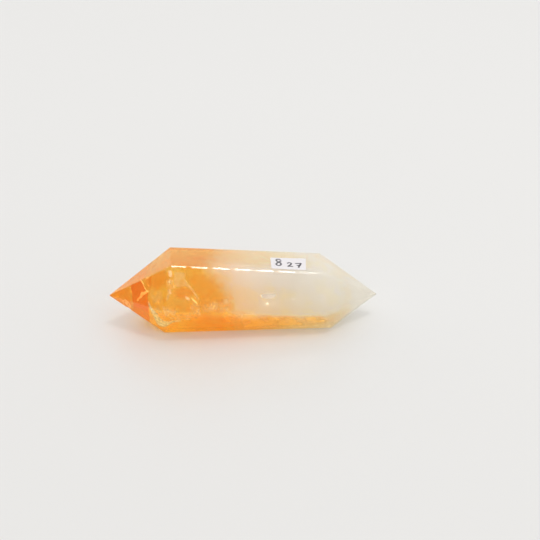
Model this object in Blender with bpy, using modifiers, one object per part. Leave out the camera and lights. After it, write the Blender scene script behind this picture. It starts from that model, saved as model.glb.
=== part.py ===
"""Citrine crystal point, polished at both ends, lying on one face.

The crystal is one six-sided quartz prism with a six-sided pyramid at each
end. It lies along X with its thicker, deeper coloured end at -X, and a small
paper price sticker lies on its upper face. Units are metres and +Z is up.
The origin is the middle of the base of the box around the crystal.
"""
import math

import bmesh
import bpy
from mathutils import Matrix, Vector

MM = 0.001

# The prism's six faces, in order round the long axis, starting at the top and
# turning towards the front (-Y). A face has the direction that it looks in,
# in degrees from straight up, its distance from the long axis at mid length,
# and its lean: how many degrees it drops towards +X.
AXIS_HEIGHT = 15.5 * MM
AXIS_SIDE = -0.5 * MM
PRISM_FACES = {
    "top": (0.0, 17.2 * MM, 5.4),
    "front_upper": (62.0, 16.7 * MM, 2.2),
    "front_lower": (114.5, 18.7 * MM, -1.3),
    "bottom": (180.0, AXIS_HEIGHT, 0.0),
    "back_lower": (240.0, 16.2 * MM, 1.0),
    "back_upper": (300.0, 18.7 * MM, 1.7),
}

# Where each long edge ends, as its X at the left and at the right. Each edge
# lies between two neighbouring prism faces.
LONG_EDGES = {
    ("top", "front_upper"): (-35.9 * MM, 35.6 * MM),
    ("front_upper", "front_lower"): (-39.2 * MM, 39.8 * MM),
    ("front_lower", "bottom"): (-40.4 * MM, 42.6 * MM),
    ("bottom", "back_lower"): (-42.0 * MM, 43.5 * MM),
    ("back_lower", "back_upper"): (-39.6 * MM, 41.2 * MM),
    ("back_upper", "top"): (-36.2 * MM, 39.5 * MM),
}

# The two tips, before their edges are rounded. The crystal is 135 mm long
# between them once they are.
LEFT_TIP = Vector((-67.7 * MM, AXIS_SIDE - 0.3 * MM, 15.8 * MM))
RIGHT_TIP = Vector((67.75 * MM, AXIS_SIDE - 1.2 * MM, 11.2 * MM))

# The ridge between the top and the upper front face is ground to a narrow
# flat, which runs out as a sliver towards each tip.
RIDGE = ("top", "front_upper")
RIDGE_FLAT_WIDTH = 1.3 * MM

# Polished edges: how far each rounding reaches onto the faces beside it.
LONG_EDGE_ROUND = 0.7 * MM
FINE_ROUND = 0.25 * MM
ROUND_STEPS = 3
LONG_EDGE_LENGTH = 60.0 * MM

# Chips knocked out of the lower front edge of each pyramid: how far along the
# edge from its tip, how wide the shell-shaped break is, and how deep.
CHIPS = {
    "chip_left": (LEFT_TIP, 0, 0.34, 3.4 * MM, 0.5 * MM),
    "chip_right": (RIGHT_TIP, 1, 0.32, 2.6 * MM, 0.4 * MM),
}
CHIP_BREAK_RADIUS = 2.6 * MM

# The sticker, on the top face: about 18 by 12 mm, and cut a little out of
# square. Its four corners are given as X and Y, in order round it.
LABEL_CORNERS = (
    (13.5 * MM, 3.4 * MM),
    (13.3 * MM, -8.4 * MM),
    (30.3 * MM, -8.5 * MM),
    (31.6 * MM, 4.1 * MM),
)
LABEL_THICKNESS = 0.16 * MM
LABEL_CORNER_ROUND = 0.6 * MM
LABEL_GAP = 0.1 * MM


def face_plane(name):
    """A point on a prism face, and the face's outward normal."""
    facing, distance, lean = PRISM_FACES[name]
    turn = math.radians(facing)
    outward = Vector((0.0, -math.sin(turn), math.cos(turn)))
    point = Vector((0.0, AXIS_SIDE, AXIS_HEIGHT)) + outward * distance
    normal = outward + Vector((math.tan(math.radians(lean)), 0.0, 0.0))
    return point, normal.normalized()


def point_on(point, normal, x, y):
    """The point at X and Y on the plane through a point with a normal."""
    fall = (x - point.x) * normal.x + (y - point.y) * normal.y
    return Vector((x, y, point.z - fall / normal.z))


def edge_point(first, second, x):
    """The point at X where the planes of two prism faces meet."""
    (point_a, normal_a) = face_plane(first)
    (point_b, normal_b) = face_plane(second)
    matrix = Matrix(((1.0, 0.0, 0.0), normal_a, normal_b))
    return matrix.inverted() @ Vector((x, normal_a.dot(point_a), normal_b.dot(point_b)))


def ring(end):
    """The six corners where the prism meets one pyramid: end 0 left, 1 right."""
    return {faces: edge_point(*faces, at[end]) for faces, at in LONG_EDGES.items()}


def ridge_flat_corners():
    """The four corners of the flat that takes the ridge's sharp edge away."""
    ends = [ring(end)[RIDGE] for end in (0, 1)]
    along = (ends[1] - ends[0]).normalized()
    normals = [face_plane(name)[1] for name in RIDGE]
    half_opening = (math.pi - normals[0].angle(normals[1])) / 2
    reach = RIDGE_FLAT_WIDTH / (2 * math.sin(half_opening))
    onto_top = normals[0].cross(along) * reach
    onto_front = along.cross(normals[1]) * reach
    return [corner + step for corner in ends for step in (onto_top, onto_front)]


def new_object(name, mesh_data, collection):
    """A new object that holds a bmesh, in a collection."""
    mesh = bpy.data.meshes.new(name)
    mesh_data.to_mesh(mesh)
    mesh_data.free()
    obj = bpy.data.objects.new(name, mesh)
    collection.objects.link(obj)
    return obj


def new_material(name, colour, roughness, transmission=0.0, ior=1.5):
    """A plain Principled material."""
    material = bpy.data.materials.new(name)
    material.use_nodes = True
    shader = material.node_tree.nodes["Principled BSDF"]
    shader.inputs["Base Color"].default_value = (*colour, 1.0)
    shader.inputs["Roughness"].default_value = roughness
    shader.inputs["Metallic"].default_value = 0.0
    shader.inputs["Transmission Weight"].default_value = transmission
    shader.inputs["IOR"].default_value = ior
    material.diffuse_color = (*colour, 1.0)
    return material


def edge_rounding(edge, ridge):
    """The share of the long edges' rounding that an edge gets."""
    middle = (edge.verts[0].co + edge.verts[1].co) / 2
    is_fine = edge.calc_length() < LONG_EDGE_LENGTH or (middle - ridge).length < RIDGE_FLAT_WIDTH
    return FINE_ROUND / LONG_EDGE_ROUND if is_fine else 1.0


def make_crystal(collection):
    """The prism and its two pyramids as one flat-faced solid with soft edges."""
    left, right = ring(0), ring(1)
    ridge = (left.pop(RIDGE) + right.pop(RIDGE)) / 2
    corners = [LEFT_TIP, RIGHT_TIP, *left.values(), *right.values(), *ridge_flat_corners()]
    shape = bmesh.new()
    for corner in corners:
        shape.verts.new(corner)
    bmesh.ops.convex_hull(shape, input=shape.verts)
    bmesh.ops.dissolve_limit(
        shape, angle_limit=math.radians(0.5), verts=shape.verts, edges=shape.edges
    )
    bmesh.ops.recalc_face_normals(shape, faces=shape.faces)

    weights = shape.edges.layers.float.new("bevel_weight_edge")
    for edge in shape.edges:
        edge[weights] = edge_rounding(edge, ridge)

    crystal = new_object("crystal", shape, collection)
    rounding = crystal.modifiers.new("polished_edges", "BEVEL")
    rounding.limit_method = "WEIGHT"
    rounding.width = LONG_EDGE_ROUND
    rounding.segments = ROUND_STEPS
    return crystal


def chip_cutter(name, chip, crystal, collection):
    """A ball that knocks a shell-shaped chip out of a pyramid's lower edge."""
    tip, end, along, width, depth = chip
    corner = ring(end)[("front_lower", "bottom")]
    at = tip.lerp(corner, along)
    outward = Vector((0.0, at.y - AXIS_SIDE, at.z - AXIS_HEIGHT)).normalized()
    outward += Vector((tip.x, 0.0, 0.0)).normalized() * 0.5
    outward.normalize()
    radius = (width * width / 4 + depth * depth) / (2 * depth)
    radius = max(radius, CHIP_BREAK_RADIUS)
    ball = bmesh.new()
    bmesh.ops.create_icosphere(ball, subdivisions=3, radius=radius)
    cutter = new_object(name, ball, collection)
    cutter.location = at + outward * (radius - depth)
    cutter.hide_render = True
    cutter.display_type = "WIRE"
    cut = crystal.modifiers.new(name, "BOOLEAN")
    cut.operation = "DIFFERENCE"
    cut.object = cutter
    return cutter


def make_label(collection):
    """The paper sticker, flat on the top face with softly cut corners."""
    point, normal = face_plane("top")
    paper = bmesh.new()
    rings = []
    for lift in (LABEL_GAP, LABEL_GAP + LABEL_THICKNESS):
        corners = [point_on(point, normal, x, y) + normal * lift for x, y in LABEL_CORNERS]
        rings.append([paper.verts.new(corner) for corner in corners])
    lower, upper = rings
    paper.faces.new(upper)
    paper.faces.new(reversed(lower))
    for count in range(len(lower)):
        after = (count + 1) % len(lower)
        paper.faces.new((lower[count], lower[after], upper[after], upper[count]))
    upright = [
        edge for edge in paper.edges if (edge.verts[0] in lower) != (edge.verts[1] in lower)
    ]
    bmesh.ops.bevel(
        paper, geom=upright, offset=LABEL_CORNER_ROUND, segments=4, profile=0.5, affect="EDGES"
    )
    return new_object("price_label", paper, collection)


def main():
    """Clear the scene and build the crystal with its sticker."""
    for obj in list(bpy.data.objects):
        bpy.data.objects.remove(obj, do_unlink=True)
    parts = bpy.data.collections.new("citrine_crystal_point")
    cutters = bpy.data.collections.new("cutters")
    bpy.context.scene.collection.children.link(parts)
    bpy.context.scene.collection.children.link(cutters)

    crystal = make_crystal(parts)
    for name, chip in CHIPS.items():
        chip_cutter(name, chip, crystal, cutters)
    label = make_label(parts)

    quartz = new_material("citrine_quartz", (0.86, 0.52, 0.20), 0.06, 0.8, 1.544)
    crystal.data.materials.append(quartz)
    paper = new_material("label_paper", (0.90, 0.87, 0.88), 0.75)
    label.data.materials.append(paper)


main()
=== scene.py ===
"""Looks of the citrine crystal point: orange and milky quartz, its flaws, its sticker."""
import math
import random

import bmesh
import bpy
from mathutils import Matrix, Vector, noise
from mathutils.bvhtree import BVHTree
from mathutils.geometry import delaunay_2d_cdt


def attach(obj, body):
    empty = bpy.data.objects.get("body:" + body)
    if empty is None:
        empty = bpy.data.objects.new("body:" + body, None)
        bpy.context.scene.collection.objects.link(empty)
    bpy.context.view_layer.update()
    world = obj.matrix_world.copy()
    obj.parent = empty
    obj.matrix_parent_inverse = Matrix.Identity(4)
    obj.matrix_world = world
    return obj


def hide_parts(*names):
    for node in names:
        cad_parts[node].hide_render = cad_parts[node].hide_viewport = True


MM = 0.001
PER_MM = 1000.0

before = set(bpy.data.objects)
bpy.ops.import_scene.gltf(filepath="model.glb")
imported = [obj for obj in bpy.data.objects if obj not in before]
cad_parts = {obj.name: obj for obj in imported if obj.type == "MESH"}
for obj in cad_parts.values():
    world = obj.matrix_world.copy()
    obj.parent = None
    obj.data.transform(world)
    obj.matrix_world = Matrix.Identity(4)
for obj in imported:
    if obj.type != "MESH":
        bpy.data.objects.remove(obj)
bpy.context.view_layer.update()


# ---------------------------------------------------------------- node helpers
def new_tree(holder):
    """The empty node tree of a material or world."""
    holder.use_nodes = True
    holder.node_tree.nodes.clear()
    return holder.node_tree


def node(tree, kind, inputs=None, **settings):
    """A new node. Inputs are plain values, or sockets to link."""
    made = tree.nodes.new(kind)
    for name, value in settings.items():
        setattr(made, name, value)
    for name, value in (inputs or {}).items():
        if isinstance(value, bpy.types.NodeSocket):
            tree.links.new(value, made.inputs[name])
        else:
            made.inputs[name].default_value = value
    return made


def math_node(tree, operation, first, second):
    """The result of one sum on two values."""
    return node(tree, "ShaderNodeMath", {0: first, 1: second}, operation=operation).outputs[0]


def product(tree, first, *others):
    """Two or more values multiplied."""
    for other in others:
        first = math_node(tree, "MULTIPLY", first, other)
    return first


def vector_node(tree, operation, first, second):
    """The node that does one sum on two vectors."""
    return node(tree, "ShaderNodeVectorMath", {0: first, 1: second}, operation=operation)


def scaled(tree, vector, factor):
    """A vector multiplied by a number."""
    inputs = {0: vector, "Scale": factor}
    return node(tree, "ShaderNodeVectorMath", inputs, operation="SCALE").outputs[0]


def fade(tree, value, start, end, low=0.0, high=1.0):
    """A value that goes smoothly from low to high as another goes from start to end."""
    made = node(
        tree,
        "ShaderNodeMapRange",
        {"Value": value, "From Min": start, "From Max": end, "To Min": low, "To Max": high},
        interpolation_type="SMOOTHSTEP",
    )
    return made.outputs[0]


def mix_colours(tree, share, first, second):
    """A blend of two colours."""
    made = node(tree, "ShaderNodeMix", data_type="RGBA")
    for name, value in (("Factor", share), ("A", first), ("B", second)):
        socket = next(s for s in made.inputs if s.name == name and s.enabled)
        if isinstance(value, bpy.types.NodeSocket):
            tree.links.new(value, socket)
        else:
            socket.default_value = value
    return next(s for s in made.outputs if s.enabled)


def tinted(tree, colour, mask, tint):
    """A colour multiplied by a tint, as far as a mask lets it."""
    made = mix_colours(tree, mask, colour, tint)
    made.node.blend_type = "MULTIPLY"
    return made


def axes_of(tree, place):
    """X, Y and Z of a place, as three sockets."""
    split = node(tree, "ShaderNodeSeparateXYZ", {0: place})
    return split.outputs["X"], split.outputs["Y"], split.outputs["Z"]


STIR_DETAIL = 2.0
STIR_SEED = 2.0


def place_in_mm(tree, waviness=0.0, size=1.0):
    """The place in the crystal in millimetres, stirred by noise of that size."""
    where = node(tree, "ShaderNodeTexCoord").outputs["Object"]
    place = scaled(tree, where, PER_MM)
    if not waviness:
        return place
    swirl = node(
        tree,
        "ShaderNodeTexNoise",
        {"Vector": place, "W": STIR_SEED, "Scale": 1.0 / size, "Detail": STIR_DETAIL},
        noise_dimensions="4D",
    )
    either_way = vector_node(tree, "SUBTRACT", swirl.outputs["Color"], (0.5, 0.5, 0.5))
    stir = scaled(tree, either_way.outputs[0], waviness * 2)
    return vector_node(tree, "ADD", place, stir).outputs[0]


def grain_of(tree, scale, detail, roughness=0.5):
    """Noise over the place in millimetres, as a value."""
    inputs = {"Vector": place_in_mm(tree), "Scale": scale, "Detail": detail, "Roughness": roughness}
    return node(tree, "ShaderNodeTexNoise", inputs).outputs["Fac"]


def blob(tree, place, centre, radii, softness):
    """1 inside an ellipsoid that fades out at its rim."""
    away = vector_node(tree, "SUBTRACT", place, centre)
    in_radii = vector_node(tree, "DIVIDE", away.outputs[0], radii)
    far = node(tree, "ShaderNodeVectorMath", {0: in_radii.outputs[0]}, operation="LENGTH")
    return fade(tree, far.outputs["Value"], 1.0 + softness, 1.0 - softness)


def finish_tree(tree, surface, volume=None):
    """Ends a material's nodes in its surface and, where it has one, its volume."""
    inputs = {"Surface": surface.outputs[0]}
    if volume:
        inputs["Volume"] = volume.outputs[0]
    node(tree, "ShaderNodeOutputMaterial", inputs)


# ---------------------------------------------------------------- camera, stage
# The camera: what it looks at, the direction that it looks from in degrees,
# how far away it is, and its lens in mm.
CAMERA_AIM = Vector((13.07 * MM, -1.53 * MM, 27.2 * MM))
CAMERA_AZIMUTH = -4.52
CAMERA_ELEVATION = 28.0
CAMERA_DISTANCE = 562.5 * MM
CAMERA_NEAR = 10.0 * MM
CAMERA_LENS = 75.0
SENSOR_WIDTH = 36.0


def make_camera():
    """The camera, at the side and height that the crystal is seen from."""
    data = bpy.data.cameras.new("camera")
    data.lens = CAMERA_LENS
    data.sensor_width = SENSOR_WIDTH
    data.clip_start = CAMERA_NEAR
    camera = bpy.data.objects.new("camera", data)
    bpy.context.scene.collection.objects.link(camera)
    turn = math.radians(CAMERA_AZIMUTH)
    rise = math.radians(CAMERA_ELEVATION)
    flat = math.cos(rise)
    back = Vector((math.sin(turn) * flat, -math.cos(turn) * flat, math.sin(rise)))
    camera.location = CAMERA_AIM + back * CAMERA_DISTANCE
    camera.rotation_euler = (-back).to_track_quat("-Z", "Y").to_euler()
    bpy.context.scene.camera = camera


FLOOR_RADIUS = 5.0
FLOOR_SIDES = 96
FLOOR_DROP = 0.05 * MM
FLOOR_COLOUR = (0.77, 0.765, 0.755, 1)


def make_floor():
    """A wide pale floor, a hair below the crystal's resting face."""
    bpy.ops.mesh.primitive_circle_add(
        vertices=FLOOR_SIDES, radius=FLOOR_RADIUS, fill_type="NGON", location=(0, 0, -FLOOR_DROP)
    )
    floor = bpy.context.object
    floor.name = "floor"
    material = bpy.data.materials.new("floor")
    tree = new_tree(material)
    look = {"Base Color": FLOOR_COLOUR, "Roughness": 0.35, "Specular IOR Level": 0.5}
    finish_tree(tree, node(tree, "ShaderNodeBsdfPrincipled", look))
    floor.data.materials.append(material)


# The studio's light: its colour, the heights between which it changes, as the
# Z of a direction, and its strength low down and high up.
STUDIO_WHITE = (1.0, 0.995, 0.985, 1)
STUDIO_HEIGHTS = (0.15, 0.95)
STUDIO_STRENGTHS = (1.09, 1.02)
# Its darker parts: where they are, the cosines at which they begin and are
# complete, and the share of light left there.
DARK_SIDES = (
    ((0.0, -0.87, 0.5), 0.82, 0.97, 0.65),
    ((-0.90, -0.33, 0.31), 0.80, 0.95, 0.3),
)


def make_world():
    """A white studio that is nearly even, with two softly darker sides."""
    world = bpy.data.worlds.new("studio")
    bpy.context.scene.world = world
    tree = new_tree(world)
    where = node(tree, "ShaderNodeTexCoord").outputs["Generated"]
    height = axes_of(tree, where)[2]
    strength = fade(tree, height, *STUDIO_HEIGHTS, *STUDIO_STRENGTHS)
    for direction, start, end, light_left in DARK_SIDES:
        towards = vector_node(tree, "DOT_PRODUCT", where, direction)
        share = fade(tree, towards.outputs["Value"], start, end, 1.0, light_left)
        strength = product(tree, strength, share)
    light = node(tree, "ShaderNodeBackground", {"Color": STUDIO_WHITE, "Strength": strength})
    node(tree, "ShaderNodeOutputWorld", {"Surface": light.outputs[0]})


# The overhead panels: in a row along X, with their powers in watts.
PANEL_HEIGHT = 1.2
PANEL_STEP = 34.5 * MM
PANEL_SIZE = (26.0 * MM, 200.0 * MM)
PANEL_CENTRE = 227.0 * MM
PANEL_POWERS = (0.26, 0.26, 0.26, 0.26, 0.26, 0.24, 0.1, 0.07)


def make_panels():
    """A row of soft overhead panels, whose gaps break up the light along the ridge."""
    for count, power in enumerate(PANEL_POWERS):
        data = bpy.data.lights.new(f"panel_{count}", "AREA")
        data.shape = "RECTANGLE"
        data.size, data.size_y = PANEL_SIZE
        data.energy = power
        light = bpy.data.objects.new(f"panel_{count}", data)
        bpy.context.scene.collection.objects.link(light)
        across = PANEL_CENTRE + (count - (len(PANEL_POWERS) - 1) / 2) * PANEL_STEP
        light.location = (across, 0.0, PANEL_HEIGHT)


# ---------------------------------------------------------------- where things are
# Places are in mm. A pair of numbers is where a fade starts and ends, and four
# are also its values there.

# The slanted edge between orange and milky quartz: the height from which it
# leans, the drops over which it leans, and how much it leans down and back.
EDGE_TOP = 32.4
EDGE_DROPS = (-2.0, 16.0)
EDGE_LEAN = 0.85
EDGE_BACK_FROM = 8.0
EDGE_BACK_LEAN = 0.4
EDGE_OFFSET = 17.5


def past_milky_edge(tree, place):
    """How far a place is past the slanted edge between orange and milky quartz."""
    x, y, z = axes_of(tree, place)
    least, most = EDGE_DROPS
    drop = math_node(tree, "MAXIMUM", math_node(tree, "SUBTRACT", EDGE_TOP, z), least)
    drop = math_node(tree, "MINIMUM", drop, most)
    behind = math_node(tree, "MAXIMUM", math_node(tree, "ADD", y, EDGE_BACK_FROM), 0.0)
    lean = product(tree, drop, EDGE_LEAN)
    edge = math_node(tree, "ADD", lean, product(tree, behind, EDGE_BACK_LEAN))
    return math_node(tree, "ADD", math_node(tree, "SUBTRACT", x, edge), EDGE_OFFSET)


class Spot:
    """A place in the crystal, stirred by noise, as the sockets that looks are made from."""

    def __init__(self, tree, waviness, size):
        self.place = place_in_mm(tree, waviness, size)
        self.past_edge = past_milky_edge(tree, self.place)
        self.x, self.y, self.z = axes_of(tree, self.place)


# What faces the front or up, by the Y or Z of its normal, and where the
# surface turns milky, past the slanted edge.
FACES_FRONT = (-0.3, -0.6)
FACES_UP = (0.75, 0.95)
MILKY_SURFACE = (-8.0, 3.0)


class SurfaceSpot(Spot):
    """A place on the polished surface, with the way that it faces."""

    def __init__(self, tree):
        super().__init__(tree, waviness=2.5, size=9.0)
        self.milky = fade(tree, self.past_edge, *MILKY_SURFACE)
        facing = node(tree, "ShaderNodeTexCoord").outputs["Normal"]
        _, normal_y, normal_z = axes_of(tree, facing)
        self.in_front = fade(tree, normal_y, *FACES_FRONT)
        self.on_top = fade(tree, normal_z, *FACES_UP)


# ---------------------------------------------------------------- surface colours
ORANGE = (1.0, 0.88, 0.58, 1)
CREAM = (0.975, 0.985, 0.96, 1)
BEIGE = (0.945, 0.915, 0.835, 1)
CREAM_TO_BEIGE = (15.0, 50.0)
THIN_TIP = (36.0, 54.0)
THIN_TIP_TINT = (0.91, 0.905, 0.89, 1)


def main_colour(tree, spot):
    """Orange, and past the slanted edge cream to beige, greyer at the thin tip."""
    pale = mix_colours(tree, fade(tree, spot.x, *CREAM_TO_BEIGE), CREAM, BEIGE)
    pale = tinted(tree, pale, fade(tree, spot.x, *THIN_TIP), THIN_TIP_TINT)
    return mix_colours(tree, spot.milky, ORANGE, pale)


# The healed crack is crossed along X at this height, and leans from there.
HEALED_CRACK = (-29.0, -28.4)
HEALED_CRACK_HEIGHT = 30.0
HEALED_CRACK_LEAN = 0.72
PATCH_FOOT = (18.0, 21.0)
PATCH_END = (2.0, -5.0)
PATCH_TINT = (1.0, 0.80, 0.40, 1)


def with_orange_patch(tree, spot, colour):
    """The orange patch, which ends sharply at a slanted healed crack on its left."""
    rise = math_node(tree, "SUBTRACT", spot.z, HEALED_CRACK_HEIGHT)
    slant = math_node(tree, "ADD", spot.x, product(tree, rise, HEALED_CRACK_LEAN))
    patch = math_node(tree, "MAXIMUM", fade(tree, slant, *HEALED_CRACK), spot.on_top)
    end = fade(tree, spot.past_edge, *PATCH_END)
    patch = product(tree, patch, end, fade(tree, spot.z, *PATCH_FOOT))
    return tinted(tree, colour, patch, PATCH_TINT)


BAND_TOP = (0.0, -25.0, 10.2, 13.5)
BAND_BLUR = (2.4, -2.0)
BAND_END = (52.0, 36.0)
BAND_TINTS = ((1.0, 0.58, 0.19, 1), (1.0, 0.66, 0.26, 1))
BAND_TINT_CHANGE = (0.0, 45.0)
BAND_LEFT = (-22.0, -32.0)
BAND_LEFT_TINT = (1.0, 0.78, 0.42, 1)
WASH_BLUR = (7.0, 0.5)
WASH_END = (30.0, 12.0)
WASH_TINT = (1.0, 0.90, 0.72, 1)


def with_lower_band(tree, spot, colour):
    """The deep orange band along the lower front edge, under a faint wash."""
    above = math_node(tree, "SUBTRACT", spot.z, fade(tree, spot.x, *BAND_TOP))
    wash = product(tree, fade(tree, above, *WASH_BLUR), spot.in_front)
    wash = product(tree, wash, fade(tree, spot.x, *WASH_END))
    colour = tinted(tree, colour, wash, WASH_TINT)
    band = product(tree, fade(tree, above, *BAND_BLUR), spot.in_front)
    band = product(tree, band, fade(tree, spot.x, *BAND_END))
    tint = mix_colours(tree, fade(tree, spot.x, *BAND_TINT_CHANGE), *BAND_TINTS)
    tint = mix_colours(tree, fade(tree, spot.x, *BAND_LEFT), tint, BAND_LEFT_TINT)
    return tinted(tree, colour, band, tint)


# A noise is given as its scale and its detail, and a spread as the values
# of it between which the blotches or streaks come up.
BLOTCH_NOISE = (0.3, 2.0)
BLOTCH_SPREAD = (0.47, 0.62)
BLOTCH_END = (8.0, -4.0)
BLOTCH_TINT = (1.0, 0.86, 0.66, 1)
STREAK_NOISE = (0.09, 3.0)
STREAK_SPREAD = (0.48, 0.58)
STREAK_TINT = (1.0, 0.955, 0.86, 1)


def with_mottling(tree, spot, colour):
    """Small blotches in the orange end, and broad cream streaks in the milky end."""
    blotches = fade(tree, grain_of(tree, *BLOTCH_NOISE), *BLOTCH_SPREAD)
    blotches = product(tree, blotches, fade(tree, spot.past_edge, *BLOTCH_END))
    colour = tinted(tree, colour, blotches, BLOTCH_TINT)
    streaks = fade(tree, grain_of(tree, *STREAK_NOISE), *STREAK_SPREAD)
    return tinted(tree, colour, product(tree, streaks, spot.milky), STREAK_TINT)


# Stained patches of the surface layer: centre and radii, softness and tint.
# Those whose names start with top are on the upper face, the rest in front.
PATCHES = {
    "amber_tip": ((-64.0, -4.0, 17.0), (8.0, 9.0, 9.0), 0.3, (1.0, 0.65, 0.34, 1)),
    "above_crack": ((-43.5, -10.0, 29.5), (6.0, 6.0, 5.5), 0.4, (1.0, 0.50, 0.23, 1)),
    "deep_blob": ((-30.6, -16.2, 24.1), (4.5, 4.0, 2.8), 0.4, (1.0, 0.60, 0.32, 1)),
    "above_window": ((-16.0, -14.0, 29.0), (9.0, 6.0, 4.0), 0.5, (1.0, 0.90, 0.75, 1)),
    "top_beige": ((8.0, 4.0, 33.0), (24.0, 12.0, 5.0), 0.5, (0.935, 0.79, 0.43, 1)),
    "top_right": ((38.0, 4.0, 32.0), (26.0, 12.0, 6.0), 0.5, (0.97, 0.925, 0.845, 1)),
    "right_stain": ((44.0, -13.0, 7.0), (9.0, 8.0, 5.0), 0.5, (1.0, 0.88, 0.66, 1)),
    "front_beige": ((12.0, -16.0, 21.0), (15.0, 5.0, 4.5), 0.6, (1.0, 0.94, 0.78, 1)),
}


def with_patches(tree, spot, colour):
    """The stained patches, each on its own side of the crystal."""
    for name, (centre, radii, softness, tint) in PATCHES.items():
        side = spot.on_top if name.startswith("top") else spot.in_front
        mask = product(tree, blob(tree, spot.place, centre, radii, softness), side)
        colour = tinted(tree, colour, mask, tint)
    return colour


RED_START = (-56.6, -56.1)
RED_END = (-47.6, -48.3)
RED_END_HEIGHT = 22.6
RED_END_LEAN = 0.8
RED_HEIGHTS = (11.0, 15.0)
RED_LOW_TINT = (1.0, 0.60, 0.20, 1)
RED_TINT = (1.0, 0.33, 0.15, 1)


def with_red_wedge(tree, spot, colour):
    """The reddest quartz, between the tip and the crack across the edge."""
    rise = math_node(tree, "MAXIMUM", math_node(tree, "SUBTRACT", spot.z, RED_END_HEIGHT), 0.0)
    along = math_node(tree, "ADD", spot.x, product(tree, rise, RED_END_LEAN))
    red = product(tree, fade(tree, spot.x, *RED_START), fade(tree, along, *RED_END), spot.in_front)
    tint = mix_colours(tree, fade(tree, spot.z, *RED_HEIGHTS), RED_LOW_TINT, RED_TINT)
    return tinted(tree, colour, red, tint)


QUARTZ_IOR = 1.544
QUARTZ_ROUGHNESS = 0.02
QUARTZ_DEPTH_COLOUR = (1.0, 0.92, 0.66, 1)
QUARTZ_DEPTH_DENSITY = 1.0


def quartz_material():
    """Clear polished quartz with a faint tint, orange towards the thick end."""
    material = bpy.data.materials.new("citrine_quartz")
    tree = new_tree(material)
    spot = SurfaceSpot(tree)
    colour = main_colour(tree, spot)
    for step in (with_orange_patch, with_lower_band, with_mottling, with_patches, with_red_wedge):
        colour = step(tree, spot, colour)
    look = {
        "Base Color": colour,
        "Roughness": QUARTZ_ROUGHNESS,
        "IOR": QUARTZ_IOR,
        "Transmission Weight": 1.0,
    }
    surface = node(tree, "ShaderNodeBsdfPrincipled", look)
    depth = {"Color": QUARTZ_DEPTH_COLOUR, "Density": QUARTZ_DEPTH_DENSITY}
    finish_tree(tree, surface, node(tree, "ShaderNodeVolumeAbsorption", depth))
    return material


# ---------------------------------------------------------------- the cloud inside
MILKY_CLOUD = (-8.0, 4.0)
CLOUD_FOOT = (6.0, 12.0)
CLOUD_BACK_FROM = 16.0
CLOUD_BACK_LEAN = 0.8
MILK_DENSITY = 220.0
CLEAR_DENSITY = 30.0
LOW_HAZE = (10.0, 6.0, 0.0, 40.0)
SCATTER_FORWARD = 0.3


def height_in_front(tree, spot):
    """The height of a place, raised further back, where the cloud hangs lower."""
    behind = math_node(tree, "MAXIMUM", math_node(tree, "ADD", spot.y, CLOUD_BACK_FROM), 0.0)
    return math_node(tree, "ADD", spot.z, product(tree, behind, CLOUD_BACK_LEAN))


def haze_density(tree, spot, height):
    """How densely the quartz scatters light: most in the upper milky part."""
    milky = fade(tree, spot.past_edge, *MILKY_CLOUD)
    milk = product(tree, milky, fade(tree, height, *CLOUD_FOOT), MILK_DENSITY)
    haze = math_node(tree, "ADD", milk, CLEAR_DENSITY)
    return math_node(tree, "ADD", haze, fade(tree, spot.z, *LOW_HAZE))


STAIN_COLOUR = (1.0, 0.84, 0.0, 1)
STAIN_DENSITY = 58.0
STAIN_LEFT = (-1.0, -9.5)
STAIN_TOP = (12.0, 6.0)
STAIN_RISE = (0.0, -20.0, 0.0, 3.0)
STAIN_SHARE = (-8.0, 25.0, 1.1, 0.2)
WEDGE_TOP = (12.5, 8.0)
WEDGE_FRONT = (-5.0, -11.0)
WEDGE_SHARE = (44.0, 8.0, 0.0, 0.58)


def stain_density(tree, spot, height):
    """How dense the orange stain is: the thick end, the bottom and the front wedge."""
    left = fade(tree, spot.past_edge, *STAIN_LEFT)
    lowered = math_node(tree, "SUBTRACT", height, fade(tree, spot.x, *STAIN_RISE))
    bottom = product(tree, fade(tree, lowered, *STAIN_TOP), fade(tree, spot.x, *STAIN_SHARE))
    wedge = product(tree, fade(tree, spot.z, *WEDGE_TOP), fade(tree, spot.y, *WEDGE_FRONT))
    wedge = product(tree, wedge, fade(tree, spot.x, *WEDGE_SHARE))
    stain = math_node(tree, "MAXIMUM", left, math_node(tree, "MAXIMUM", bottom, wedge))
    return product(tree, stain, STAIN_DENSITY)


def cloud_material():
    """The cloudy and stained quartz: what scatters and colours light inside."""
    material = bpy.data.materials.new("cloudy_quartz")
    tree = new_tree(material)
    spot = Spot(tree, waviness=4.0, size=14.0)
    height = height_in_front(tree, spot)
    haze = {
        "Color": (1, 1, 1, 1),
        "Density": haze_density(tree, spot, height),
        "Anisotropy": SCATTER_FORWARD,
    }
    stain = {"Color": STAIN_COLOUR, "Density": stain_density(tree, spot, height)}
    scatter = node(tree, "ShaderNodeVolumeScatter", haze)
    tint = node(tree, "ShaderNodeVolumeAbsorption", stain)
    both = node(tree, "ShaderNodeAddShader", {0: scatter.outputs[0], 1: tint.outputs[0]})
    finish_tree(tree, node(tree, "ShaderNodeBsdfTransparent"), both)
    return material


# ---------------------------------------------------------------- the crystal
WELD_DISTANCE = 0.001 * MM
FLAT_ANGLE = math.radians(0.3)
SHARP_ANGLE = math.radians(28)
CLOUD_INSET = 0.2 * MM


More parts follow.
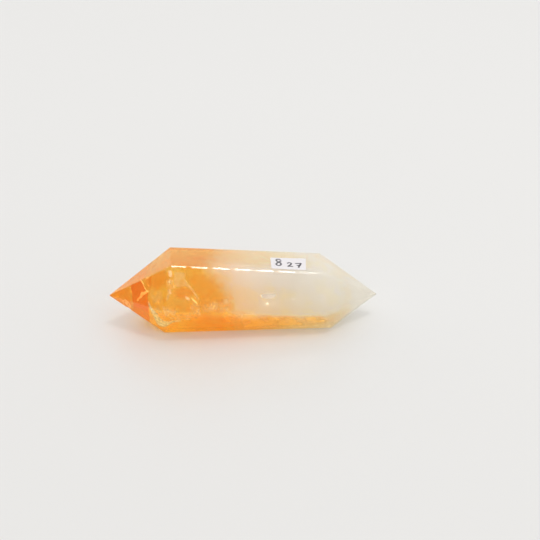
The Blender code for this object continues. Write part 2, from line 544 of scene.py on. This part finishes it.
def crystal_mesh(name, inset=0.0):
    """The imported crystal's own shape, welded, or drawn in by a little all over."""
    shape = bmesh.new()
    shape.from_mesh(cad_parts["crystal"].data)
    bmesh.ops.remove_doubles(shape, verts=shape.verts, dist=WELD_DISTANCE)
    bmesh.ops.dissolve_limit(shape, angle_limit=FLAT_ANGLE, verts=shape.verts, edges=shape.edges)
    bmesh.ops.recalc_face_normals(shape, faces=shape.faces)
    if inset:
        middle = sum((v.co for v in shape.verts), Vector()) / len(shape.verts)
        for v in shape.verts:
            away = v.co - middle
            v.co = middle + away * (1.0 - inset / max(away.length, inset))
    mesh = bpy.data.meshes.new(name)
    shape.to_mesh(mesh)
    shape.free()
    mesh.shade_smooth()
    mesh.set_sharp_from_angle(angle=SHARP_ANGLE)
    return mesh


def add_piece(name, mesh, material):
    """A piece of the object that rides on its one body."""
    piece = bpy.data.objects.new(name, mesh)
    bpy.context.scene.collection.objects.link(piece)
    piece.data.materials.append(material)
    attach(piece, "root")
    return piece


def make_crystal():
    """The polished surface, and the cloudy quartz that fills it."""
    polished = crystal_mesh("crystal_body")
    body = add_piece("crystal_body", polished, quartz_material())
    even = body.modifiers.new("flat_faces", "WEIGHTED_NORMAL")
    even.keep_sharp = True
    even.weight = 100
    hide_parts("crystal")
    filling = crystal_mesh("inner_cloud", CLOUD_INSET)
    add_piece("inner_cloud", filling, cloud_material())


# ---------------------------------------------------------------- curves
def between(p0, p1, p2, p3, t):
    """A place on the smooth curve from p1 to p2, as t goes from 0 to 1."""
    return (
        p1 * 2
        + (p2 - p0) * t
        + (p0 * 2 - p1 * 5 + p2 * 4 - p3) * t * t
        + (p1 * 3 - p0 - p2 * 3 + p3) * t * t * t
    ) / 2


def smooth_path(points, steps):
    """A smooth open curve through a run of places."""
    ends = [points[0] * 2 - points[1]] + points + [points[-1] * 2 - points[-2]]
    curve = []
    for p0, p1, p2, p3 in zip(ends, ends[1:], ends[2:], ends[3:]):
        for step in range(steps):
            curve.append(between(p0, p1, p2, p3, step / steps))
    return curve + [points[-1]]


def smooth_outline(corners, steps, rng, ragged):
    """A smooth closed curve through corners, with a ragged edge."""
    curve = []
    count = len(corners)
    for index in range(count):
        four = [Vector(corners[(index + k) % count]) for k in (-1, 0, 1, 2)]
        for step in range(steps):
            nudge = Vector((rng.uniform(-1, 1), rng.uniform(-1, 1))) * ragged
            curve.append(between(*four, step / steps) + nudge)
    return curve


def sides_of(curve):
    """The straight sides of a closed curve, as pairs of points."""
    return zip(curve, curve[1:] + curve[:1])


def is_inside(point, curve):
    """Whether a point is inside a closed curve."""
    inside = False
    for a, b in sides_of(curve):
        if (a.y > point.y) != (b.y > point.y):
            if point.x < a.x + (point.y - a.y) / (b.y - a.y) * (b.x - a.x):
                inside = not inside
    return inside


NO_LENGTH = 1e-9


def distance_to(point, curve):
    """The shortest way from a point to a closed curve."""
    shortest = math.inf
    for a, b in sides_of(curve):
        along = b - a
        share = (point - a).dot(along) / max(along.length_squared, NO_LENGTH)
        share = max(0.0, min(1.0, share))
        shortest = min(shortest, (point - a - along * share).length)
    return shortest


# ---------------------------------------------------------------- shapes of flaws
# Into the crystal, straight through its upper front face.
INWARD = Vector((0.06, 0.88, -0.47)).normalized()
# Where the search for the surface starts, as Y in mm: well in front of the
# crystal, or just beside its outline where that search finds nothing.
IN_FRONT = -60.0
BESIDE = -8.0
# No point of a sheet lies shallower than this many mm.
SHALLOWEST = 0.35
# How finely an outline is drawn, how far the points inside it stay from its
# rim, as a share of their spacing, and how loosely they sit on their grid.
OUTLINE_STEPS = 4
RIM_GAP = 0.4
LOOSE_GRID = (0.2, 0.8)
# The waves of a sheet, for each mm, and how far apart its seeds' waves are.
WAVE_SCALE = 0.35
WAVE_SEED_STEP = 7.0
MESH_TOLERANCE = 1e-5


def surface_finder():
    """Makes the function that finds a place beneath the polished surface."""
    shape = bmesh.new()
    shape.from_mesh(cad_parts["crystal"].data)
    tree = BVHTree.FromBMesh(shape)
    shape.free()

    def beneath(x, z, depth):
        """The place at X and Z, that deep behind the front, all in mm."""
        start = Vector((x * MM, IN_FRONT * MM, z * MM))
        hit = tree.ray_cast(start, Vector((0.0, 1.0, 0.0)))[0]
        if hit is None:
            hit = tree.find_nearest(Vector((x * MM, BESIDE * MM, z * MM)))[0]
        return hit + INWARD * depth * MM

    return beneath


def keep_rim(mesh, distances):
    """Keeps each point's distance to its sheet's rim in mm, for the material to read."""
    layer = mesh.attributes.new("rim", "FLOAT", "POINT")
    layer.data.foreach_set("value", distances)


def filling_points(curve, spacing, rng):
    """Places on a loose grid inside a closed curve, clear of its rim."""
    left, low = (min(p[i] for p in curve) for i in (0, 1))
    right, high = (max(p[i] for p in curve) for i in (0, 1))
    points = []
    for i in range(int((right - left) / spacing) + 1):
        for j in range(int((high - low) / spacing) + 1):
            x = left + (i + rng.uniform(*LOOSE_GRID)) * spacing
            z = low + (j + rng.uniform(*LOOSE_GRID)) * spacing
            point = Vector((x, z))
            if is_inside(point, curve) and distance_to(point, curve) > spacing * RIM_GAP:
                points.append(point)
    return points


def sheet_mesh(name, corners, beneath, depth, bow, seed, spacing=0.7, ragged=0.1):
    """A thin curved sheet inside the crystal, outlined as X and Z in mm."""
    rng = random.Random(seed)
    curve = smooth_outline(corners, OUTLINE_STEPS, rng, ragged)
    points = curve + filling_points(curve, spacing, rng)
    rim = list(range(len(curve)))
    flat, _, faces, *_ = delaunay_2d_cdt(points, [], [rim], 1, MESH_TOLERANCE)
    vertices = []
    for point in flat:
        x, z = point
        wave = noise.noise(Vector((x * WAVE_SCALE, z * WAVE_SCALE, seed * WAVE_SEED_STEP)))
        vertices.append(beneath(x, z, max(depth + bow * wave, SHALLOWEST)))
    mesh = bpy.data.meshes.new(name)
    mesh.from_pydata(vertices, [], faces)
    keep_rim(mesh, [distance_to(point, curve) for point in flat])
    mesh.shade_smooth()
    return mesh


# Specks: their size as a share of the largest, their length as a multiple of
# their width, their corners, and their depth and how far they tilt in mm.
SPECK_SIZES = (0.45, 1.0)
SPECK_LENGTHS = (1.0, 2.2)
SPECK_CORNERS = (4, 6)
SPECK_UNEVEN = 0.3
SPECK_DEPTH = 0.6
SPECK_TILT = 0.25


def speck_corners(beneath, middle, largest, rng):
    """The corners of one small tilted crack facet."""
    size = largest * rng.uniform(*SPECK_SIZES)
    long_side = rng.uniform(*SPECK_LENGTHS)
    turn = Matrix.Rotation(rng.uniform(0.0, math.pi), 2)
    count = rng.randint(*SPECK_CORNERS)
    corners = []
    for corner in range(count):
        angle = math.tau * corner / count + rng.uniform(-SPECK_UNEVEN, SPECK_UNEVEN)
        place = Vector((math.cos(angle) * long_side, math.sin(angle))) * size / 2
        place.rotate(turn)
        place += middle
        corners.append(beneath(place.x, place.y, SPECK_DEPTH + SPECK_TILT * rng.random()))
    return corners


def specks_mesh(name, groups, beneath, seed):
    """Small tilted crack facets, scattered in groups just under the surface."""
    rng = random.Random(seed)
    vertices, faces = [], []
    for (x, z), (wide, tall), count, largest in groups:
        for _ in range(count):
            middle = Vector((x + rng.uniform(-wide, wide), z + rng.uniform(-tall, tall)))
            corners = speck_corners(beneath, middle, largest, rng)
            faces.append(tuple(range(len(vertices), len(vertices) + len(corners))))
            vertices += corners
    mesh = bpy.data.meshes.new(name)
    mesh.from_pydata(vertices, [], faces)
    keep_rim(mesh, [1.0] * len(vertices))
    return mesh


# ---------------------------------------------------------------- looks of flaws
# Each kind of flaw: the colours of its light and dull spots and their size in
# mm, the least and the most that it covers, and its painted glow: how strongly it
# glows, as painted light that stands in for light its crack faces would mirror.
# Its rim is how wide it fades out there in mm, body is how much of its colour is
# lit by the studio, and detail is how fine its spots are.
FLAW_LOOKS = {
    "crack_gold": dict(
        light=(1.0, 0.92, 0.52, 1), dull=(1.0, 0.80, 0.36, 1), size=1.2, cover=(0.8, 1.0), painted_glow=0.46
    ),
    "crack_pink": dict(
        light=(1.0, 0.92, 0.82, 1), dull=(1.0, 0.80, 0.64, 1), size=1.2, cover=(0.7, 1.0), painted_glow=0.20
    ),
    "crack_pale": dict(
        light=(0.86, 0.85, 0.62, 1), dull=(0.62, 0.53, 0.34, 1), size=1.2, cover=(0.65, 1.0),
        painted_glow=0.58, rim=0.4, body=0.6,
    ),
    "veil": dict(
        light=(1.0, 0.86, 0.72, 1), dull=(1.0, 0.74, 0.52, 1), size=3.5, cover=(0.05, 0.42),
        painted_glow=0.20, rim=1.4, body=0.85,
    ),
    "window_veil": dict(
        light=(1.0, 0.88, 0.72, 1), dull=(1.0, 0.82, 0.62, 1), size=5.0, cover=(0.25, 0.42),
        painted_glow=0.17, rim=0.5, body=0.85,
    ),
    "chip": dict(
        light=(1.0, 0.88, 0.68, 1), dull=(1.0, 0.74, 0.44, 1), size=0.9, cover=(0.0, 0.8),
        painted_glow=0.22, rim=0.4,
    ),
    # The stain's orange is its own colour; its glow is painted light that brightens the lower band.
    "stain": dict(
        light=(1.0, 0.70, 0.15, 1), dull=(1.0, 0.58, 0.10, 1), size=8.0, cover=(0.12, 0.46),
        painted_glow=0.26, rim=2.4, detail=1.0,
    ),
    # A painted reflection of the sticker seen inside the quartz: a whitish, see-through sheet.
    "painted_reflection_veil": dict(
        light=(0.93, 0.93, 1.0, 1), dull=(0.90, 0.90, 0.98, 1), size=5.0, cover=(0.34, 0.48),
        painted_glow=0.07, rim=1.0,
    ),
    "haze_veil": dict(
        light=(1.0, 0.84, 0.62, 1), dull=(1.0, 0.72, 0.45, 1), size=4.0, cover=(0.06, 0.34),
        painted_glow=0.16, rim=3.0, body=0.85,
    ),
    "painted_sparkle": dict(
        light=(1.0, 0.95, 0.80, 1), dull=(1.0, 0.90, 0.70, 1), size=1.2, cover=(0.8, 1.0), painted_glow=0.62
    ),
}
# The noise between which a flaw's spots go from dull to light, and its holes
# close.
FLAW_SPOTS = (0.38, 0.62)
FLAW_HOLES = (0.30, 0.60)
BLACK = (0.0, 0.0, 0.0, 1)


def flaw_material(name, light, dull, size, cover, painted_glow, rim=0.0, body=1.0, detail=4.0):
    """A crack face whose shine is painted on as a glow: crumbly, more or less see-through, fading at
    its rim.
    """
    material = bpy.data.materials.new(name)
    tree = new_tree(material)
    speckle = grain_of(tree, 1.0 / size, detail, roughness=0.65)
    colour = mix_colours(tree, fade(tree, speckle, *FLAW_SPOTS), dull, light)
    alpha = fade(tree, speckle, *FLAW_HOLES, *cover)
    if rim:
        from_rim = node(tree, "ShaderNodeAttribute", attribute_name="rim").outputs["Fac"]
        alpha = product(tree, alpha, fade(tree, from_rim, 0.0, rim))
    look = {
        "Base Color": mix_colours(tree, body, BLACK, colour),
        "Roughness": 0.5,
        "IOR": 1.2,
        "Alpha": alpha,
        # Painted glow: emission in the flaw's colour stands in for the light that it would mirror.
        "Emission Color": colour,
        "Emission Strength": painted_glow,
    }
    finish_tree(tree, node(tree, "ShaderNodeBsdfPrincipled", look))
    return material


# ---------------------------------------------------------------- the flaws
# Outlines of the larger flaws, as X and Z on the front of the crystal in mm.
CRESCENT = (
    (-48.4, 18.4), (-47.2, 15.4), (-46.2, 11.9), (-45.3, 8.6), (-44.0, 5.3), (-42.4, 4.2),
    (-39.6, 5.2), (-36.6, 8.0), (-36.4, 9.2), (-39.5, 9.5), (-41.2, 9.8), (-42.4, 11.4),
    (-43.3, 13.4), (-44.7, 14.9), (-46.0, 16.6), (-47.4, 18.6),
)
FLAKE = (
    (-47.4, 23.0), (-49.0, 22.4), (-50.0, 21.6), (-50.8, 21.7), (-51.6, 20.4), (-51.9, 19.3),
    (-52.9, 18.3), (-53.4, 17.3), (-52.8, 17.4), (-52.0, 18.4), (-51.3, 19.0), (-50.9, 19.1),
    (-50.3, 20.2), (-49.2, 21.1), (-48.2, 21.6),
)
CRACK = ((-51.2, 26.2), (-50.6, 26.1), (-49.4, 24.2), (-48.2, 22.6), (-48.9, 23.0), (-50.2, 25.0))
GLINT = ((-37.2, 33.8), (-36.0, 33.9), (-35.6, 32.6), (-35.7, 31.4), (-37.1, 31.5), (-37.3, 32.8))
PINK_GLINT = ((-29.9, 23.0), (-29.0, 22.6), (-27.8, 21.7), (-27.6, 21.0), (-28.6, 21.0), (-29.5, 21.7))
WINDOW = (
    (-34.5, 33.4), (-31.0, 33.2), (-28.7, 32.8), (-28.9, 29.8), (-27.0, 27.5), (-25.2, 25.1),
    (-23.4, 22.4), (-22.2, 19.6), (-23.4, 20.2), (-25.5, 22.8), (-27.4, 25.6), (-30.0, 26.7),
    (-34.0, 26.6), (-35.3, 29.8),
)
LEFT_LOBE = (
    (-41.2, 19.5), (-39.0, 19.0), (-36.5, 18.2), (-33.6, 17.0), (-33.9, 14.6), (-31.8, 12.2),
    (-34.0, 10.6), (-37.5, 10.9), (-39.8, 12.6), (-41.0, 15.8),
)
RIGHT_LOBE = (
    (-27.4, 19.2), (-25.6, 20.6), (-24.0, 19.2), (-22.4, 18.6), (-22.3, 13.2), (-24.2, 11.2),
    (-28.2, 11.9), (-30.8, 13.2), (-28.6, 15.6), (-28.2, 17.6),
)
LOW_LOBE = (
    (-34.0, 14.6), (-31.5, 15.4), (-28.0, 15.0), (-25.6, 13.4), (-26.8, 10.8), (-31.0, 9.6),
    (-35.2, 10.6),
)
ARCH = (
    (-41.0, 17.0), (-40.6, 20.0), (-38.8, 23.0), (-36.6, 25.2), (-33.6, 26.3), (-28.0, 26.0),
    (-27.6, 25.3), (-33.2, 25.3), (-36.0, 24.2), (-38.0, 22.3), (-39.7, 19.6), (-40.2, 17.0),
)
COLUMN = (
    (-38.2, 30.4), (-36.2, 30.6), (-34.6, 28.4), (-34.9, 25.8), (-36.6, 23.0), (-38.2, 20.4),
    (-39.4, 21.2), (-38.6, 24.6), (-39.4, 27.2),
)
STREAK = ((-26.5, 21.9), (-25.4, 20.9), (-23.8, 19.2), (-24.1, 19.0), (-25.7, 20.4), (-26.7, 21.6))
EDGE_LINE = ((-22.5, 19.4), (-22.1, 19.4), (-22.0, 16.0), (-22.1, 13.0), (-22.5, 13.0), (-22.4, 16.0))
TAIL = (
    (-37.4, 9.9), (-35.6, 10.2), (-32.2, 9.9), (-30.4, 9.4), (-32.6, 9.0), (-35.2, 8.4),
    (-37.2, 8.2),
)
CHIP = (
    (-61.0, 15.0), (-59.6, 16.5), (-58.4, 16.3), (-57.0, 15.0), (-56.4, 12.8), (-57.0, 11.0),
    (-58.2, 11.4), (-59.2, 12.4), (-60.4, 13.6),
)
TIP_STREAK = ((-57.6, 25.0), (-57.0, 25.2), (-56.8, 22.0), (-57.4, 20.2), (-58.4, 21.2), (-58.8, 23.0))
LOWER_MOTTLE = (
    (-22.0, 18.6), (-19.0, 19.4), (-16.5, 20.2), (-13.0, 20.0), (-10.8, 21.4), (-8.0, 20.8),
    (-7.0, 18.6), (-8.4, 16.0), (-7.0, 13.6), (-12.0, 13.8), (-17.0, 14.6), (-21.6, 15.2),
)
PEACH = (
    (-47.4, 24.6), (-43.0, 25.6), (-40.0, 24.4), (-39.2, 20.6), (-40.4, 16.4), (-42.0, 13.4),
    (-44.6, 14.6), (-46.8, 18.0), (-48.0, 21.4),
)
LOWER_STAIN = (
    (-13.0, 15.8), (-5.0, 15.6), (2.0, 14.6), (8.0, 13.2), (14.0, 12.4), (22.0, 11.8),
    (30.0, 11.4), (37.0, 10.4), (41.5, 6.6), (38.0, 3.6), (30.0, 2.2), (18.0, 1.6),
    (6.0, 1.6), (-6.0, 1.8), (-10.0, 6.0),
)
# Outline of the painted reflection of the sticker, seen inside the quartz.
LABEL_REFLECTION_OUTLINE = (
    (7.0, 21.9), (11.0, 22.2), (15.0, 21.7), (15.4, 20.4), (13.6, 19.0), (9.6, 19.1),
    (7.2, 20.0),
)

# The larger flaws: outline, look and shape. Depth, bow, spacing of the points
# and raggedness of the edge are in mm.
SHEETS = {
    "crescent_crack": (CRESCENT, "crack_pale", dict(depth=0.9, bow=0.4, seed=3)),
    "crescent_tail": (TAIL, "crack_pale", dict(depth=0.9, bow=0.4, spacing=0.5, seed=13)),
    "bright_flake": (FLAKE, "crack_gold", dict(depth=0.9, bow=0.4, spacing=0.4, ragged=0.12, seed=4)),
    "edge_crack": (CRACK, "crack_gold", dict(depth=0.7, bow=0.2, spacing=0.4, ragged=0.05, seed=5)),
    "chip_crack": (CHIP, "chip", dict(depth=0.6, bow=0.2, spacing=0.5, seed=14)),
    "tip_streak": (TIP_STREAK, "veil", dict(depth=0.8, bow=0.2, spacing=0.5, seed=15)),
    # Painted glints: small crack faces whose shine is painted glow.
    "upright_painted_glint": (GLINT, "crack_pink", dict(depth=0.8, bow=0.2, spacing=0.4, ragged=0.05, seed=6)),
    "pink_painted_glint": (PINK_GLINT, "crack_pink", dict(depth=1.2, bow=0.3, spacing=0.4, seed=7)),
    "slanted_veil": (WINDOW, "window_veil", dict(depth=1.2, bow=0.6, seed=8)),
    "arched_veil": (ARCH, "veil", dict(depth=1.0, bow=0.5, spacing=0.5, seed=16)),
    "speckled_veil": (COLUMN, "veil", dict(depth=1.0, bow=0.5, spacing=0.6, ragged=0.2, seed=17)),
    "left_veil": (LEFT_LOBE, "veil", dict(depth=1.6, bow=1.0, ragged=0.2, seed=9)),
    "right_veil": (RIGHT_LOBE, "veil", dict(depth=1.6, bow=1.0, ragged=0.2, seed=10)),
    "low_veil": (LOW_LOBE, "veil", dict(depth=2.4, bow=1.0, ragged=0.2, seed=11)),
    "gold_streak": (STREAK, "crack_gold", dict(depth=1.0, bow=0.2, spacing=0.4, ragged=0.05, seed=18)),
    "upright_edge": (
        EDGE_LINE, "window_veil", dict(depth=1.0, bow=0.1, spacing=0.4, ragged=0.02, seed=19)
    ),
    "lower_mottle": (LOWER_MOTTLE, "veil", dict(depth=1.2, bow=0.8, ragged=0.3, seed=25)),
    "peach_veil": (PEACH, "haze_veil", dict(depth=1.6, bow=0.6, ragged=0.2, seed=26)),
    "lower_stain_glow": (LOWER_STAIN, "stain", dict(depth=0.9, bow=0.4, spacing=1.2, ragged=0.3, seed=27)),
    "painted_label_reflection": (LABEL_REFLECTION_OUTLINE, "painted_reflection_veil", dict(depth=0.8, bow=0.2, ragged=0.15, seed=20)),
}

# Specks whose sparkle is painted glow: the middle of each group as X and Z in
# mm, how far the specks spread, how many there are, and how large the largest is.
PALE_SPECKS = (
    ((-36.0, 27.6), (1.3, 3.6), 16, 0.55),
    ((-29.0, 21.6), (1.6, 1.2), 5, 0.40),
    ((-37.5, 33.8), (2.2, 0.5), 3, 0.60),
)
GOLD_SPECKS = (
    ((-50.0, 27.2), (2.6, 2.4), 7, 0.50),
    ((-46.2, 26.4), (2.4, 2.0), 5, 0.45),
    ((-42.6, 29.8), (3.0, 2.6), 4, 0.40),
    ((-17.5, 18.6), (3.0, 2.0), 7, 0.55),
    ((-32.0, 22.0), (3.6, 2.4), 6, 0.40),
    ((-44.0, 8.0), (4.0, 2.4), 6, 0.45),
    ((-25.0, 10.4), (4.0, 1.2), 4, 0.40),
)
FAR_SPECKS = (
    ((10.4, 17.2), (0.1, 0.1), 2, 1.15),
    ((22.4, 18.9), (1.6, 0.8), 3, 0.75),
    ((-1.5, 18.6), (4.0, 2.4), 6, 0.50),
)
SPECKS = {
    "pale_specks": (PALE_SPECKS, "crack_pink", 21),
    "gold_specks": (GOLD_SPECKS, "crack_gold", 22),
    "far_specks": (FAR_SPECKS, "painted_sparkle", 23),
}


def add_flaws():
    """The cracks, veils, stains and specks just beneath the surface, lit up by painted glow."""
    beneath = surface_finder()
    looks = {kind: flaw_material(kind, **values) for kind, values in FLAW_LOOKS.items()}
    for name, (outline, kind, shape) in SHEETS.items():
        add_piece(name, sheet_mesh(name, outline, beneath, **shape), looks[kind])
    for name, (groups, kind, seed) in SPECKS.items():
        add_piece(name, specks_mesh(name, groups, beneath, seed), looks[kind])


# ---------------------------------------------------------------- the sticker
# Grain is given as the scale and the detail of its noise.
PAPER_TOOTH = (1.5, 4.0)
PAPER_COLOURS = ((0.78, 0.75, 0.765, 1), (0.84, 0.81, 0.825, 1))
INK_GRAIN = (2.5, 3.0)
INK_COLOURS = ((0.015, 0.012, 0.02, 1), (0.07, 0.055, 0.08, 1))


def plain_material(name, grain, colours, roughness):
    """A dull material that wavers finely between two colours."""
    material = bpy.data.materials.new(name)
    tree = new_tree(material)
    colour = mix_colours(tree, grain_of(tree, *grain), *colours)
    look = {"Base Color": colour, "Roughness": roughness}
    finish_tree(tree, node(tree, "ShaderNodeBsdfPrincipled", look))
    return material


# Generic handwritten digits on the sticker: an 8, a 2 and a 7. Each stroke is
# a run of X and Y places in mm.
DIGIT_STROKES = (
    (
        (18.6, 0.9), (17.6, 1.9), (16.5, 1.2), (16.6, -0.3), (17.9, -1.6), (18.5, -3.4),
        (17.4, -4.9), (16.1, -4.2), (16.3, -2.7), (17.8, -0.9), (18.9, 0.4),
    ),
    ((21.6, -2.2), (22.6, -1.3), (23.6, -2.0), (23.1, -3.6), (21.7, -5.3), (22.8, -5.1), (24.3, -5.4)),
    ((25.6, -1.9), (27.0, -1.8), (28.6, -1.6), (27.6, -3.8), (26.9, -6.3)),
    ((26.2, -4.0), (28.3, -3.8)),
)
STROKE_STEPS = 5
INK_WIDTH = 0.8
INK_LIFT = 0.02 * MM
ABOVE_ALL = 100.0 * MM


def both_edges(path):
    """The two edges of a ribbon along a path, one place on each side at a time."""
    for index, point in enumerate(path):
        ahead = path[min(index + 1, len(path) - 1)] - path[max(index - 1, 0)]
        side = Vector((-ahead.y, ahead.x)).normalized() * INK_WIDTH / 2
        yield point + side
        yield point - side


def ink_mesh(strokes):
    """Flat ribbons of ink that lie on the sticker's upper face."""
    shape = bmesh.new()
    shape.from_mesh(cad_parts["price_label"].data)
    paper = BVHTree.FromBMesh(shape)
    shape.free()
    vertices, faces = [], []
    for stroke in strokes:
        path = smooth_path([Vector(place) for place in stroke], STROKE_STEPS)
        first = len(vertices)
        for edge in both_edges(path):
            start = Vector((edge.x * MM, edge.y * MM, ABOVE_ALL))
            hit = paper.ray_cast(start, Vector((0.0, 0.0, -1.0)))[0]
            vertices.append(hit + Vector((0.0, 0.0, INK_LIFT)))
        faces += [(a, a + 1, a + 3, a + 2) for a in range(first, len(vertices) - 2, 2)]
    mesh = bpy.data.meshes.new("ink_digits")
    mesh.from_pydata(vertices, [], faces)
    return mesh


def dress_label():
    """The sticker keeps its CAD shape and gets its paper and a few digits."""
    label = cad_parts["price_label"]
    label.data.materials.clear()
    label.data.materials.append(plain_material("label_paper", PAPER_TOOTH, PAPER_COLOURS, 0.6))
    ink = plain_material("ink", INK_GRAIN, INK_COLOURS, 0.5)
    add_piece("ink_digits", ink_mesh(DIGIT_STROKES), ink)


# ---------------------------------------------------------------- settings
MANY_BOUNCES = 64
VOLUME_BOUNCES = 48
DIFFUSE_BOUNCES = 8


def set_light_paths():
    """Enough bounces for light that is caught in the quartz to find its way out."""
    cycles = bpy.context.scene.cycles
    cycles.max_bounces = MANY_BOUNCES
    cycles.diffuse_bounces = DIFFUSE_BOUNCES
    cycles.glossy_bounces = MANY_BOUNCES
    cycles.transmission_bounces = MANY_BOUNCES
    cycles.volume_bounces = VOLUME_BOUNCES
    cycles.transparent_max_bounces = MANY_BOUNCES
    cycles.blur_glossy = 0.0
    bpy.context.scene.view_settings.view_transform = "Standard"


make_camera()
make_floor()
make_world()
make_panels()
make_crystal()
add_flaws()
dress_label()
set_light_paths()
